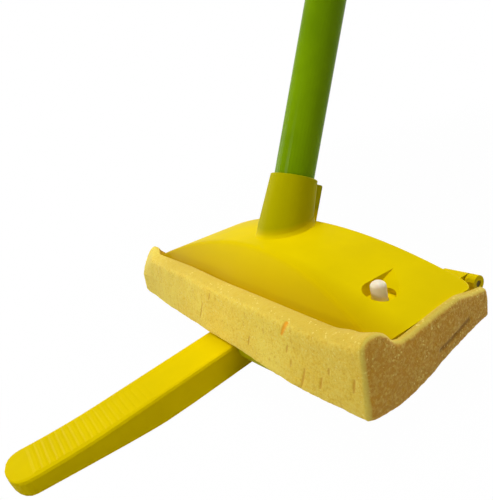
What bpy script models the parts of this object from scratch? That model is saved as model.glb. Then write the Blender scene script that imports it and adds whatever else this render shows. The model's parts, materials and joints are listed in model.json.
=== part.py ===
"""Self-wringing sponge mop: arched head, tube handle, sponge refill and a hinged press plate with its lever.

Lengths are in millimetres and angles in degrees; every mesh is written in metres.
The head frame has X along the head, Y towards the hinge side and Z up, with its origin
at the middle of the head, level with the top of the front flange. The whole mop hangs
from one empty, so that the world's origin is the hang hole at the top of the handle.
"""
import math

import bmesh
import bpy
from mathutils import Vector

MM = 0.001
SOFT_ANGLE = 50          # edges flatter than this are shaded smooth on the sponge

# Fits
SEAT_GAP = 0.3       # between pieces that touch
RUNNING_GAP = 0.35   # around the hinge pins

# Head housing
HEAD_LENGTH = 227.5
HEAD_DEPTH = 73.9
HEAD_CORNER = 6.0
ARCH_RISE = 21.3
FLANGE_DEPTH = 8.7
RIDGE_SETBACK = 26.0     # ridge to front edge, at the middle of the head
SKIRT_DEPTH = 5.0
HEAD_WALL = 2.5
RIB_THICKNESS = 1.8
RIB_SPACING = 34.0
RIB_COUNT = 6

# Socket and handle
HANDLE_TILT = 27.0
SOCKET_SETBACK = 18.6    # socket axis behind the middle of the head, at the top of the arch
SOCKET_HEIGHT = 32.3
SOCKET_MOUTH_RADIUS = 14.7
SOCKET_BASE_RADIUS = 17.0
SOCKET_FLARE = 1.5
SOCKET_FLARE_HEIGHT = 3.5
SOCKET_FLOOR = 3.0       # wall under the tube's foot
CATCH_REACH = 22.6       # catch rib's outer edge from the handle's axis
CATCH_THICKNESS = 4.2
CATCH_HEIGHT = 31.0
CATCH_SHOULDER = 10.5
CATCH_FOOT = 6.0         # rib's lower end on the back wall
TUBE_RADIUS = 12.5
TUBE_WALL = 1.0
TUBE_SEAT_DEPTH = 3.0    # tube's lower end below the top of the arch
TUBE_LENGTH = 1120.0
PLUG_LENGTH = 16.0
PLUG_FLANGE = 1.5
SCREW_BITE = 4.4         # socket screw's reach into the plug
GRIP_LENGTH = 118.0
GRIP_OVERLAP = 78.0
GRIP_WALL = 2.2
GRIP_TAPER = 2.5
GRIP_BAND_COUNT = 7
GRIP_BAND_PITCH = 8.0
GRIP_BAND_DEPTH = 0.7
GRIP_TAB_THICKNESS = 9.0
GRIP_TAB_ROUNDING = 6.0
HANG_HOLE_RADIUS = 5.5
SCREW_HEIGHT = 15.0
SCREW_RADIUS = 1.8
SCREW_HEAD_RADIUS = 3.6
SCREW_HEAD_THICKNESS = 2.0

# Refill: sponge, carrier and release stud
SPONGE_END_OVERHANG = 3.65
SPONGE_FRONT_OVERHANG = 3.6
SPONGE_FRONT_LEAN = 2.0  # lower front edge before the upper one
SPONGE_BACK_OVERHANG = 2.8
SPONGE_BACK_BULGE = 2.0  # further back past the hinge arms
SPONGE_BACK_TOP = 8.2
SPONGE_LIP_REACH = 5.8   # rim's fold over the head's front flange
SPONGE_EDGE = 1.6        # softening of its lower edges
SPONGE_SAG = 3.8         # belly past the press plate's ends
SPONGE_UNDER_SHARES = (0.0, 0.2, 0.4, 0.56, 0.7, 0.86)
# Height of the front rim's crest, by share of the sponge's half length
SPONGE_RIM = ((-1.0, 7.2), (-0.43, 7.6), (0.1, 5.5), (0.78, 4.8), (0.9, 7.0), (1.0, 9.8))
# Height of the end walls past the housing, by place across the head
SPONGE_LEFT_END = ((-33.2, 7.2), (-28.0, 7.4), (-22.0, 3.4), (-17.0, -1.8), (39.0, -2.6))
SPONGE_RIGHT_END = ((-33.2, 9.8), (-29.0, 8.6), (-20.0, -0.4), (20.0, 2.2), (39.0, -2.0))
SPONGE_END_PLACES = (-29.5, -26.0, -22.5, -18.5, -12.0, 6.0, 20.0, 31.0)
CARRIER_THICKNESS = 1.9
STUD_INSET = 23.25       # stud's axis from the head's right end
STUD_Y = -0.5
STUD_RADIUS = 3.75
STUD_TOP = 13.0
STUD_DOME = 2.9
STUD_FLANGE_RADIUS = 6.5
STUD_FLANGE_THICKNESS = 1.2
POCKET_RADIUS = 7.6
POCKET_FLOOR = 3.2
POCKET_WALL = 2.2
RAMP_LENGTH = 21.0
HOOK_WIDTH = 12.0
HOOK_SPACING = 34.0
HOOK_REACH = 2.0
HOOK_SKIN = 0.6          # wall left outside each hook's slot

# Hinge, in the head frame
HINGE_Y = 44.5
HINGE_Z = -3.2
HINGE_RADIUS = 4.2
PIN_RADIUS = 1.5
EAR_INSET = 8.55         # lug's outer face from the head's end
EAR_WIDTH = 13.2
ARM_WIDTH = 5.0
ARM_GAP = 0.5

# Press plate and lever, measured from the hinge: forward along the plate, and down from it
WRINGER_PITCH = 6.4
PLATE_TOP = 13.7
PLATE_THICKNESS = 2.2
PLATE_BACK = 14.5
PLATE_FRONT = 88.5
PLATE_FRONT_BOW = 10.0
PLATE_END_RADIUS = 9.0
ARM_FRONT = 4.3
ARM_THICKNESS = 2.0
CATCH_SLOT_END = 43.5
CATCH_SLOT_CLEARANCE = 0.9
PLATE_RIB_DEPTH = 3.2
PLATE_RIB_START = 27.0
FRONT_RIB_INSET = 8.0
DRAIN_COLUMNS = 6        # on each side of the lever
DRAIN_START = 24.0
DRAIN_INSET = 14.2       # last column from the hinge arm's outer face
DRAIN_ROWS = (36.0, 62.0)
DRAIN_LENGTH = 15.0
DRAIN_WIDTH = 4.6
LEVER_START = 47.0
LEVER_TIP = 217.0
LEVER_WIDTH = 29.5
LEVER_WALL = 1.9
LEVER_BOTTOM = 30.0
LEVER_TAPER = 0.15       # rise of the lower edge for each millimetre past the knee
LEVER_KNEE = 130.0
LEVER_KNEE_BEND = 18.0
LEVER_CURL = 3.4
LEVER_CURL_START = 165.0
LEVER_TIP_RADIUS = 11.0
LEVER_CHIN = 8.0         # rounding of the tip's lower edge
GRIP_RIB_COUNT = 18
GRIP_RIB_PITCH = 3.6
GRIP_RIB_HEIGHT = 0.35
TIP_PAD = 11.5           # smooth end of the lever past the ribs
LEVER_SCREW_PLACES = (56.0, 75.0)
LEVER_SCREW_BITE = 0.8
BOSS_RADIUS = 4.0
WEB_RIB_COUNT = 3
WEB_RIB_START = 96.0
WEB_RIB_PITCH = 24.0
WEB_RIB_DEPTH = 2.6


# Mesh helpers

def clear_scene():
    for obj in list(bpy.data.objects):
        bpy.data.objects.remove(obj, do_unlink=True)


def plastic(name, colour, roughness=0.35, metallic=0.0):
    """Material of one Principled shader, named for what the piece is made of."""
    material = bpy.data.materials.new(name)
    material.use_nodes = True
    shader = material.node_tree.nodes["Principled BSDF"]
    shader.inputs["Base Color"].default_value = (*colour, 1.0)
    shader.inputs["Roughness"].default_value = roughness
    shader.inputs["Metallic"].default_value = metallic
    return material


def link_object(name, bm, parent, material=None, smooth=None):
    bmesh.ops.recalc_face_normals(bm, faces=bm.faces)
    mesh = bpy.data.meshes.new(name)
    bm.to_mesh(mesh)
    bm.free()
    obj = bpy.data.objects.new(name, mesh)
    bpy.context.scene.collection.objects.link(obj)
    obj.parent = parent
    if material:
        mesh.materials.append(material)
    if smooth:
        mesh.shade_smooth()
        mesh.set_sharp_from_angle(angle=math.radians(smooth))
    return obj


def loft(rings, close=False):
    """A closed body through rings of equal point counts, capped at both ends unless it closes on itself."""
    bm = bmesh.new()
    loops = [[bm.verts.new(Vector(point) * MM) for point in ring] for ring in rings]
    pairs = list(zip(loops, loops[1:]))
    if close:
        pairs.append((loops[-1], loops[0]))
    for low, high in pairs:
        for i in range(len(low)):
            j = (i + 1) % len(low)
            bm.faces.new((low[i], low[j], high[j], high[i]))
    if not close:
        bm.faces.new(loops[0])
        bm.faces.new(loops[-1])
    return bm


def prism(outline, axis, low, high):
    """A flat outline extruded along one axis; its points give the other two axes in X, Y, Z order."""
    def place(point, level):
        values = list(point)
        values.insert("XYZ".index(axis), level)
        return values
    return loft([[place(point, level) for point in outline] for level in (low, high)])


def box(low, high):
    corners = [(low[0], low[1]), (high[0], low[1]), (high[0], high[1]), (low[0], high[1])]
    return prism(corners, "Z", low[2], high[2])


def turned(profile, origin, axis, segments=32, close=False):
    """A revolved body from a profile of (distance along the axis, radius); a closed profile makes a ring."""
    axis = Vector(axis).normalized()
    side = axis.orthogonal().normalized()
    other = axis.cross(side)
    turns = [2 * math.pi * i / segments for i in range(segments)]
    rings = []
    for along, radius in profile:
        centre = Vector(origin) + axis * along
        rings.append([centre + radius * (side * math.cos(a) + other * math.sin(a)) for a in turns])
    return loft(rings, close)


def bore(target, name, radius, start, end, origin, axis, segments=24):
    """A round hole through target, from start to end along the axis."""
    cut(target, name, turned([(start, radius), (end, radius)], origin, axis, segments))


def rounded(points, radii, steps=3):
    """A 2D outline whose corners are rounded; each corner gives steps + 1 points."""
    result = []
    count = len(points)
    for i, point in enumerate(points):
        here = Vector(point)
        before = Vector(points[i - 1]) - here
        after = Vector(points[(i + 1) % count]) - here
        radius = radii[i]
        if radius <= 0:
            result.append(tuple(here))
            continue
        half_angle = before.angle(after) / 2
        reach = min(radius / math.tan(half_angle), 0.45 * before.length, 0.45 * after.length)
        start = here + before.normalized() * reach
        end = here + after.normalized() * reach
        for k in range(steps + 1):
            u = k / steps
            bend = start * (1 - u) ** 2 + here * 2 * u * (1 - u) + end * u ** 2
            result.append(tuple(bend))
    return result


def add_boolean(target, other, operation):
    other.hide_render = True
    other.display_type = "WIRE"
    modifier = target.modifiers.new(operation.title(), "BOOLEAN")
    modifier.operation = operation
    modifier.solver = "EXACT"
    modifier.object = other


def join(target, name, bm):
    add_boolean(target, link_object(name, bm, target.parent), "UNION")


def cut(target, name, bm):
    add_boolean(target, link_object(name, bm, target.parent), "DIFFERENCE")


# Directions and places in the head frame

TILT = math.radians(HANDLE_TILT)
HANDLE_AXIS = Vector((0.0, math.sin(TILT), math.cos(TILT)))
HANDLE_BACK = Vector((0.0, math.cos(TILT), -math.sin(TILT)))
SOCKET_BASE = Vector((0.0, SOCKET_SETBACK, ARCH_RISE))
BORE_RADIUS = TUBE_RADIUS + SEAT_GAP
TUBE_BORE = TUBE_RADIUS - TUBE_WALL
PLUG_RADIUS = TUBE_BORE - SEAT_GAP
BORE_FLOOR = -TUBE_SEAT_DEPTH - PLUG_FLANGE - 2 * SEAT_GAP
GRIP_START = TUBE_LENGTH - TUBE_SEAT_DEPTH - GRIP_OVERLAP
HANG_ALONG = GRIP_START + GRIP_LENGTH - 2.2 * HANG_HOLE_RADIUS
HANG_POINT = SOCKET_BASE + HANDLE_AXIS * HANG_ALONG
HALF_LENGTH = HEAD_LENGTH / 2
HALF_DEPTH = HEAD_DEPTH / 2
STUD_X = HALF_LENGTH - STUD_INSET
SLOPE_FOOT = -HALF_DEPTH + FLANGE_DEPTH
SLOPE_RUN = RIDGE_SETBACK - FLANGE_DEPTH
SLOPE = math.atan2(ARCH_RISE, SLOPE_RUN)
CARRIER_TOP = -SKIRT_DEPTH + CARRIER_THICKNESS
RIB_BOTTOM = CARRIER_TOP + SEAT_GAP
EAR_END = HALF_LENGTH - EAR_INSET
EAR_START = EAR_END - EAR_WIDTH
PIN_START = EAR_START + 2.0
ARM_START = EAR_END + ARM_GAP
ARM_END = ARM_START + ARM_WIDTH
PIN_END = ARM_END - SEAT_GAP
DRAIN_PITCH = (ARM_END - DRAIN_INSET - DRAIN_START) / (DRAIN_COLUMNS - 1)
SPONGE_HALF = HALF_LENGTH + SPONGE_END_OVERHANG
WEB_TOP = PLATE_TOP + PLATE_THICKNESS + SEAT_GAP
WEB_BOTTOM = WEB_TOP + LEVER_WALL
LEVER_STEP = PLATE_FRONT + SEAT_GAP      # where the lever's top rises level with the plate's
GRIP_RIBS_START = LEVER_TIP - TIP_PAD - GRIP_RIB_COUNT * GRIP_RIB_PITCH


def arch_height(x):
    return ARCH_RISE * (1 - (x / HALF_LENGTH) ** 2)


def corner_pull(x, half_length, radius):
    """How far a rounded corner draws the long side in at station x."""
    past = max(0.0, abs(x) - (half_length - radius))
    return radius - math.sqrt(max(0.0, radius ** 2 - past ** 2))


def stations(half_length, radius, straight=24, corner=4):
    """Places along the head: even over the arch, closer round the corners."""
    inner = half_length - radius
    middle = [-inner + 2 * inner * i / straight for i in range(straight + 1)]
    past = [radius * math.sin(math.radians(90 * k / corner) * 0.93) for k in range(1, corner + 1)]
    return [-inner - p for p in reversed(past)] + middle + [inner + p for p in past]


def head_section(x, inset, bottom, round_edges=True):
    """Outline of the arched head across the handle side, at station x, drawn in by inset."""
    pull = corner_pull(x, HALF_LENGTH, HEAD_CORNER)
    front = -HALF_DEPTH + pull + inset
    back = HALF_DEPTH - pull - inset
    top = max(arch_height(x), 0.3) - inset
    foot = SLOPE_FOOT + inset * (1 / math.cos(SLOPE) - 1) / math.tan(SLOPE)
    foot = max(foot, front + 0.6)
    ridge = foot + (top + inset) / math.tan(SLOPE)
    points = [(back, bottom), (back, top), (ridge, top), (foot, -inset), (front, -inset), (front, bottom)]
    radii = [0, 1.2, 5.0, 2.4, 1.0, 0] if round_edges else [0] * 6
    return rounded(points, radii)


def head_loft(half_length, inset, bottom, round_edges=True):
    rings = []
    for x in stations(half_length, HEAD_CORNER):
        rings.append([(x, y, z) for y, z in head_section(x, inset, bottom, round_edges)])
    return loft(rings)


def handle_place(along, back=0.0, x=0.0):
    return SOCKET_BASE + HANDLE_AXIS * along + HANDLE_BACK * back + Vector((x, 0, 0))


def wringer_place(x, forward, down):
    """Local place under the hinge empty: forward from the hinge, and down from it."""
    return Vector((x, -forward, -down))


# Pieces of the head

def build_housing(frame, material):
    housing = link_object("head_housing", head_loft(HALF_LENGTH, 0.0, -SKIRT_DEPTH), frame, material, 35)
    cut(housing, "hollow_cutter", head_loft(HALF_LENGTH - HEAD_WALL, HEAD_WALL, -SKIRT_DEPTH - 2.0, False))
    for i in range(RIB_COUNT):
        x = (i - (RIB_COUNT - 1) / 2) * RIB_SPACING
        outline = head_section(x, 0.8, RIB_BOTTOM, False)
        join(housing, f"rib_guide_{i}", prism(outline, "X", x - RIB_THICKNESS / 2, x + RIB_THICKNESS / 2))
    join(housing, "socket_guide", socket_body())
    join(housing, "flare_guide", socket_flare())
    join(housing, "catch_guide", catch_rib())
    join(housing, "well_guide", stud_well())
    for side in (-1, 1):
        join(housing, f"ear_guide_{side}", hinge_ear(side))
    bore(housing, "bore_cutter", BORE_RADIUS, BORE_FLOOR, SOCKET_HEIGHT + 5, SOCKET_BASE, HANDLE_AXIS, 32)
    stud_foot = (STUD_X, STUD_Y, 0)
    bore(housing, "pocket_cutter", POCKET_RADIUS, POCKET_FLOOR, ARCH_RISE, stud_foot, (0, 0, 1), 32)
    cut(housing, "ramp_cutter", finger_ramp())
    shank_hole = STUD_RADIUS + SEAT_GAP
    bore(housing, "stud_hole_cutter", shank_hole, -SKIRT_DEPTH, ARCH_RISE, stud_foot, (0, 0, 1), 28)
    for side in (-1, 1):
        pin_hole = pin_body(side * PIN_START, side * (ARM_START + 1), PIN_RADIUS + SEAT_GAP)
        cut(housing, f"pin_hole_cutter_{side}", pin_hole)
        y = side * HOOK_SPACING / 2
        reach = HOOK_WIDTH / 2 + SEAT_GAP
        low = (-HALF_LENGTH + HOOK_SKIN, y - reach, -SKIRT_DEPTH - 1)
        high = (-HALF_LENGTH + HEAD_WALL + 1, y + reach, CARRIER_TOP + SEAT_GAP)
        cut(housing, f"hook_slot_cutter_{side}", box(low, high))
    screw_hole(housing, "screw_hole_cutter", TUBE_BORE, SOCKET_BASE_RADIUS + 3)


def socket_radius(along):
    return SOCKET_BASE_RADIUS - (SOCKET_BASE_RADIUS - SOCKET_MOUTH_RADIUS) * max(0.0, along) / SOCKET_HEIGHT


def socket_body():
    """Tapered socket with a softened lip, rooted through the arch as a solid boss under the tube."""
    lip = SOCKET_HEIGHT - 1.0
    profile = [(BORE_FLOOR - SOCKET_FLOOR, SOCKET_BASE_RADIUS), (0.0, SOCKET_BASE_RADIUS),
               (lip, socket_radius(lip)), (SOCKET_HEIGHT - 0.3, SOCKET_MOUTH_RADIUS),
               (SOCKET_HEIGHT, SOCKET_MOUTH_RADIUS - 0.5)]
    return turned(profile, SOCKET_BASE, HANDLE_AXIS, 56)


def socket_flare():
    """A concave foot where the socket leaves the arch, as level slices of the tilted cone."""
    rings = []
    turns = [2 * math.pi * i / 56 for i in range(56)]
    for k in range(5):
        u = k / 4
        rise = -1.0 + u * (SOCKET_FLARE_HEIGHT + 1.0)
        centre = SOCKET_BASE + HANDLE_AXIS * (rise / math.cos(TILT))
        spread = SOCKET_FLARE * (1 - u) ** 2 - 0.1
        wide = socket_radius(rise) + spread
        deep = socket_radius(rise) / math.cos(TILT) + spread
        back = HALF_DEPTH + 0.6 * u
        rings.append([(wide * math.cos(a), min(centre.y + deep * math.sin(a), back), centre.z)
                      for a in turns])
    return loft(rings)


def catch_rib():
    """The rib behind the socket that the folded press plate straddles."""
    tip = handle_place(CATCH_HEIGHT, CATCH_REACH)
    shoulder = handle_place(CATCH_SHOULDER, CATCH_REACH)
    inner = handle_place(CATCH_HEIGHT, SOCKET_MOUTH_RADIUS - 1.2)
    wall = HALF_DEPTH - HEAD_WALL + 0.9
    outline = [(inner.y, inner.z), (tip.y, tip.z), (shoulder.y, shoulder.z),
               (HALF_DEPTH - 0.5, CATCH_FOOT), (wall, CATCH_FOOT), (wall, ARCH_RISE - 2.0)]
    outline = rounded(outline, [0, 1.2, 3.0, 0, 0, 0])
    return prism(outline, "X", -CATCH_THICKNESS / 2, CATCH_THICKNESS / 2)


def stud_well():
    """Solid bed under the stud's pocket and its finger ramp, kept below the arch's skin."""
    left = STUD_X - POCKET_RADIUS - POCKET_WALL
    right = STUD_X + POCKET_RADIUS + POCKET_WALL
    outline = [(left, RIB_BOTTOM), (right, RIB_BOTTOM)]
    for k in range(7):
        x = right + (left - right) * k / 6
        outline.append((x, arch_height(x) - 0.8))
    return prism(outline, "Y", STUD_Y - POCKET_RADIUS - POCKET_WALL, STUD_Y + RAMP_LENGTH + POCKET_WALL)


def finger_ramp():
    """Cutter for the slope that lets a fingertip reach the stud from the hinge side."""
    high = arch_height(STUD_X - POCKET_RADIUS) + 0.4
    end = STUD_Y + RAMP_LENGTH
    outline = [(STUD_Y, POCKET_FLOOR + 0.2), (end, high), (end, ARCH_RISE), (STUD_Y, ARCH_RISE)]
    return prism(outline, "X", STUD_X - POCKET_RADIUS + 0.1, STUD_X + POCKET_RADIUS - 0.1)


def hinge_ear(side):
    """Lug on the back wall that carries one hinge pin."""
    low_z = -SKIRT_DEPTH
    outline = [(HALF_DEPTH - 1.0, low_z)]
    for k in range(9):
        a = math.radians(-90 + 180 * k / 8)
        outline.append((HINGE_Y + HINGE_RADIUS * math.cos(a), HINGE_Z + HINGE_RADIUS * math.sin(a)))
    outline.append((HALF_DEPTH - 1.0, HINGE_Z + HINGE_RADIUS))
    start, end = sorted((side * EAR_START, side * EAR_END))
    return prism(outline, "X", start, end)


def pin_body(start, end, radius, segments=20):
    start, end = sorted((start, end))
    return turned([(start, radius), (end, radius)], (0, HINGE_Y, HINGE_Z), (1, 0, 0), segments)


def build_pins(frame, material):
    for side, name in ((-1, "hinge_pin_left"), (1, "hinge_pin_right")):
        pin = pin_body(side * (PIN_START + SEAT_GAP), side * PIN_END, PIN_RADIUS)
        link_object(name, pin, frame, material, 40)


# Pieces of the handle

def build_tube(frame, material):
    low = -TUBE_SEAT_DEPTH
    high = low + TUBE_LENGTH
    wall = [(low, TUBE_RADIUS), (high, TUBE_RADIUS), (high, TUBE_BORE), (low, TUBE_BORE)]
    tube = link_object("handle_tube", turned(wall, SOCKET_BASE, HANDLE_AXIS, 40, True), frame, material, 40)
    screw_hole(tube, "tube_screw_cutter", TUBE_BORE - 3, TUBE_RADIUS + 2)


def build_plug(frame, material):
    """Plug in the tube's foot, which gives the socket screw something to bite."""
    seat = -TUBE_SEAT_DEPTH - SEAT_GAP
    end = -TUBE_SEAT_DEPTH + PLUG_LENGTH
    profile = [(seat - PLUG_FLANGE, TUBE_RADIUS - 0.4), (seat, TUBE_RADIUS - 0.4), (seat, PLUG_RADIUS),
               (end, PLUG_RADIUS), (end + 2, PLUG_RADIUS - 1.5)]
    plug = link_object("tube_foot_plug", turned(profile, SOCKET_BASE, HANDLE_AXIS, 28), frame, material, 40)
    screw_hole(plug, "plug_screw_cutter", PLUG_RADIUS - SCREW_BITE - 0.6, PLUG_RADIUS + 3)


def build_socket_screw(frame, material):
    seat = socket_radius(SCREW_HEIGHT - SCREW_HEAD_RADIUS) + SEAT_GAP
    top = seat + SCREW_HEAD_THICKNESS
    profile = [(PLUG_RADIUS - SCREW_BITE, SCREW_RADIUS), (seat, SCREW_RADIUS), (seat, SCREW_HEAD_RADIUS),
               (top - 0.8, SCREW_HEAD_RADIUS), (top, SCREW_HEAD_RADIUS - 1.1)]
    screw = turned(profile, handle_place(SCREW_HEIGHT), (-1, 0, 0), 20)
    link_object("socket_screw", screw, frame, material, 40)


def screw_hole(target, name, start, end):
    """Clearance hole for the socket screw, which comes in square to the handle from the left."""
    bore(target, name, SCREW_RADIUS + SEAT_GAP, start, end, handle_place(SCREW_HEIGHT), (-1, 0, 0), 16)


def build_grip(frame, material):
    """Hand grip over the tube's top, drawn out to a flat tab with the hang hole."""
    start = GRIP_START
    end = GRIP_START + GRIP_LENGTH
    tube_top = start + GRIP_OVERLAP
    outer = BORE_RADIUS + GRIP_WALL
    valley = outer - GRIP_BAND_DEPTH
    profile = [(start, outer - 0.9), (start + 1.2, outer)]
    for k in range(GRIP_BAND_COUNT):
        place = start + (k + 1) * GRIP_BAND_PITCH
        profile += [(place + u * GRIP_BAND_PITCH, radius)
                    for u, radius in ((0.25, outer), (0.38, valley), (0.62, valley), (0.75, outer))]
    shoulder = outer - GRIP_TAPER
    profile += [(tube_top + 2, outer), (end - 1.3 * GRIP_TAB_ROUNDING, shoulder)]
    for k in range(1, 6):
        a = math.radians(90 * k / 5)
        radius = shoulder * (0.2 + 0.8 * math.cos(a))
        profile.append((end - GRIP_TAB_ROUNDING * (1 - math.sin(a)), radius))
    grip = link_object("handle_grip", turned(profile, SOCKET_BASE, HANDLE_AXIS, 32), frame, material, 40)
    bore(grip, "grip_bore_cutter", BORE_RADIUS, start - 2, tube_top + SEAT_GAP, SOCKET_BASE, HANDLE_AXIS, 32)
    neck = HANG_ALONG - 2.4 * HANG_HOLE_RADIUS
    face = GRIP_TAB_THICKNESS / 2
    for side in (-1, 1):
        edge = outer + 1
        corners = [(neck - edge + face, edge), (neck, face), (end + 2, face), (end + 2, edge)]
        places = [handle_place(along, side * out) for along, out in corners]
        outline = [(place.y, place.z) for place in places]
        cut(grip, f"tab_cutter_{side}", prism(outline, "X", -outer - 1, outer + 1))
    bore(grip, "hang_hole_cutter", HANG_HOLE_RADIUS, -outer, outer, handle_place(HANG_ALONG), HANDLE_BACK)


# Pieces of the refill

def build_carrier(frame, material):
    """Stiff backing that the sponge is glued to, with two hooks in the housing's left wall."""
    half_x = HALF_LENGTH - HEAD_WALL - SEAT_GAP - 0.2
    half_y = HALF_DEPTH - HEAD_WALL - SEAT_GAP
    corner = HEAD_CORNER - HEAD_WALL + 1
    corners = [(-half_x, -half_y), (half_x, -half_y), (half_x, half_y), (-half_x, half_y)]
    outline = rounded(corners, [corner] * 4)
    carrier = link_object("sponge_carrier", prism(outline, "Z", -SKIRT_DEPTH, CARRIER_TOP), frame, material)
    for side in (-1, 1):
        y = side * HOOK_SPACING / 2
        low = (-half_x - HOOK_REACH, y - HOOK_WIDTH / 2, -SKIRT_DEPTH)
        high = (-half_x + 3, y + HOOK_WIDTH / 2, CARRIER_TOP - 0.2)
        join(carrier, f"hook_guide_{side}", box(low, high))
    seat = -SKIRT_DEPTH + STUD_FLANGE_THICKNESS
    flange_hole, shank_hole = STUD_FLANGE_RADIUS + SEAT_GAP, STUD_RADIUS + SEAT_GAP
    profile = [(-SKIRT_DEPTH - 1, flange_hole), (seat, flange_hole),
               (seat, shank_hole), (CARRIER_TOP + 1, shank_hole)]
    cut(carrier, "stud_seat_cutter", turned(profile, (STUD_X, STUD_Y, 0), (0, 0, 1), 28))


def build_stud(frame, material):
    """Domed stud that snaps the refill into the head and is pressed to let it go."""
    low = -SKIRT_DEPTH
    shoulder = low + STUD_FLANGE_THICKNESS - SEAT_GAP
    profile = [(low, STUD_FLANGE_RADIUS), (shoulder, STUD_FLANGE_RADIUS), (shoulder, STUD_RADIUS)]
    for k in range(6):
        a = math.radians(90 * k / 6)
        profile.append((STUD_TOP - STUD_DOME * (1 - math.sin(a)), STUD_RADIUS * math.cos(a)))
    profile.append((STUD_TOP, 0.4))
    link_object("release_stud", turned(profile, (STUD_X, STUD_Y, 0), (0, 0, 1), 28), frame, material, 40)


def follow(knots, place):
    """Height at a place on a smooth run through the knots, level at each of them."""
    for (low, first), (high, second) in zip(knots, knots[1:]):
        if place <= high:
            u = min(1.0, max(0.0, (place - low) / (high - low)))
            return first + (second - first) * u * u * (3 - 2 * u)
    return knots[-1][1]


def sponge_bottom(y):
    """Underside of the sponge where it rests on the press plate's slope."""
    pitch = math.radians(WRINGER_PITCH)
    down = PLATE_TOP - SEAT_GAP
    forward = (HINGE_Y + down * math.sin(pitch) - y) / math.cos(pitch)
    return HINGE_Z - forward * math.sin(pitch) - down * math.cos(pitch)


def sponge_end_top(x, crest, rim, back):
    """Free top of an end wall past the housing, from the rim's crest to the back edge."""
    knots = SPONGE_RIGHT_END if x > 0 else SPONGE_LEFT_END
    points = [(crest, rim)]
    for y in SPONGE_END_PLACES:
        fade = max(0.0, 1 - (y - crest) / HALF_DEPTH)
        points.append((y, follow(knots, y) + fade * (rim - follow(knots, crest))))
    return points + [(back - 0.9, follow(knots, back)), (back, follow(knots, back) - 2.0)]


def sponge_fold(crest, rim, back):
    """Top of the sponge at the housing: the front rim folded over the flange, the bed, the back edge."""
    skirt, bed = -HALF_DEPTH - SEAT_GAP, -SKIRT_DEPTH - SEAT_GAP
    foot = skirt + SPONGE_LIP_REACH
    wall = HALF_DEPTH - HEAD_WALL
    return [(crest, rim), (foot + 0.3, rim - 0.5), (foot + 0.8, rim - 1.8), (foot, SEAT_GAP),
            (skirt, SEAT_GAP), (skirt, bed), (0.0, bed), (wall - 4.0, bed),
            (wall, -SPONGE_BACK_TOP + 2.0), (back - 0.6, -SPONGE_BACK_TOP), (back, -SPONGE_BACK_TOP - 1.2)]


def sponge_section(x, drawn_in):
    """Outline of the sponge across the head at station x; drawn_in softens the rim of the end faces.

    The underside lies on the press plate's slope, and past the plate's ends, where nothing
    holds it up, it sags into a belly.
    """
    front = -HALF_DEPTH - SPONGE_FRONT_OVERHANG + drawn_in
    low_front = front - SPONGE_FRONT_LEAN
    clear = ARM_END + SEAT_GAP
    back = HALF_DEPTH + SPONGE_BACK_OVERHANG - drawn_in + (SPONGE_BACK_BULGE if abs(x) > clear else 0.0)
    rim = follow(SPONGE_RIM, x / SPONGE_HALF) - drawn_in
    crest = front + SPONGE_LIP_REACH + 1.5
    sag = SPONGE_SAG if abs(x) > clear else 0.0
    points = [(low_front + SPONGE_EDGE, sponge_bottom(low_front + SPONGE_EDGE) + drawn_in),
              (low_front + 0.4, sponge_bottom(low_front) + 0.6 + drawn_in),
              (low_front, sponge_bottom(low_front) + 2.4),
              (front - 0.4 * SPONGE_FRONT_LEAN, -SKIRT_DEPTH - 3.0),
              (front, rim - 5.2), (front + 0.8, rim - 2.6), (front + 2.6, rim - 0.8), (front + 4.9, rim)]
    if abs(x) > HALF_LENGTH + SEAT_GAP:
        points += sponge_end_top(x, crest, rim, back)
    else:
        points += sponge_fold(crest, rim, back)
    points.append((back, sponge_bottom(back) + SPONGE_EDGE + drawn_in))
    underside = back - SPONGE_EDGE - (low_front + SPONGE_EDGE)
    for share in SPONGE_UNDER_SHARES:
        y = back - SPONGE_EDGE - share * underside
        points.append((y, sponge_bottom(y) + drawn_in - sag * math.sin(math.pi * share ** 2)))
    return [(x, y, z) for y, z in points]


def build_sponge(frame, material):
    """The sponge refill: folded over the flange in front, stepped up past the housing's ends."""
    step = HALF_LENGTH + SEAT_GAP
    clear = ARM_END + SEAT_GAP
    places = [(SPONGE_HALF, 1.3), (SPONGE_HALF - 0.5, 0.5), (SPONGE_HALF - 1.6, 0.0), (step + 0.02, 0.0),
              (step - 0.05, 0.0), (clear + 0.15, 0.0), (clear - 0.01, 0.0)]
    places += [(clear * k / 14, 0.0) for k in range(13, 0, -1)]
    ends = [(-x, drawn_in) for x, drawn_in in places]
    sections = ends + [(0.0, 0.0)] + places[::-1]
    rings = [sponge_section(x, drawn_in) for x, drawn_in in sections]
    link_object("sponge", loft(rings), frame, material, SOFT_ANGLE)


# Pieces of the wringer

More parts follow.
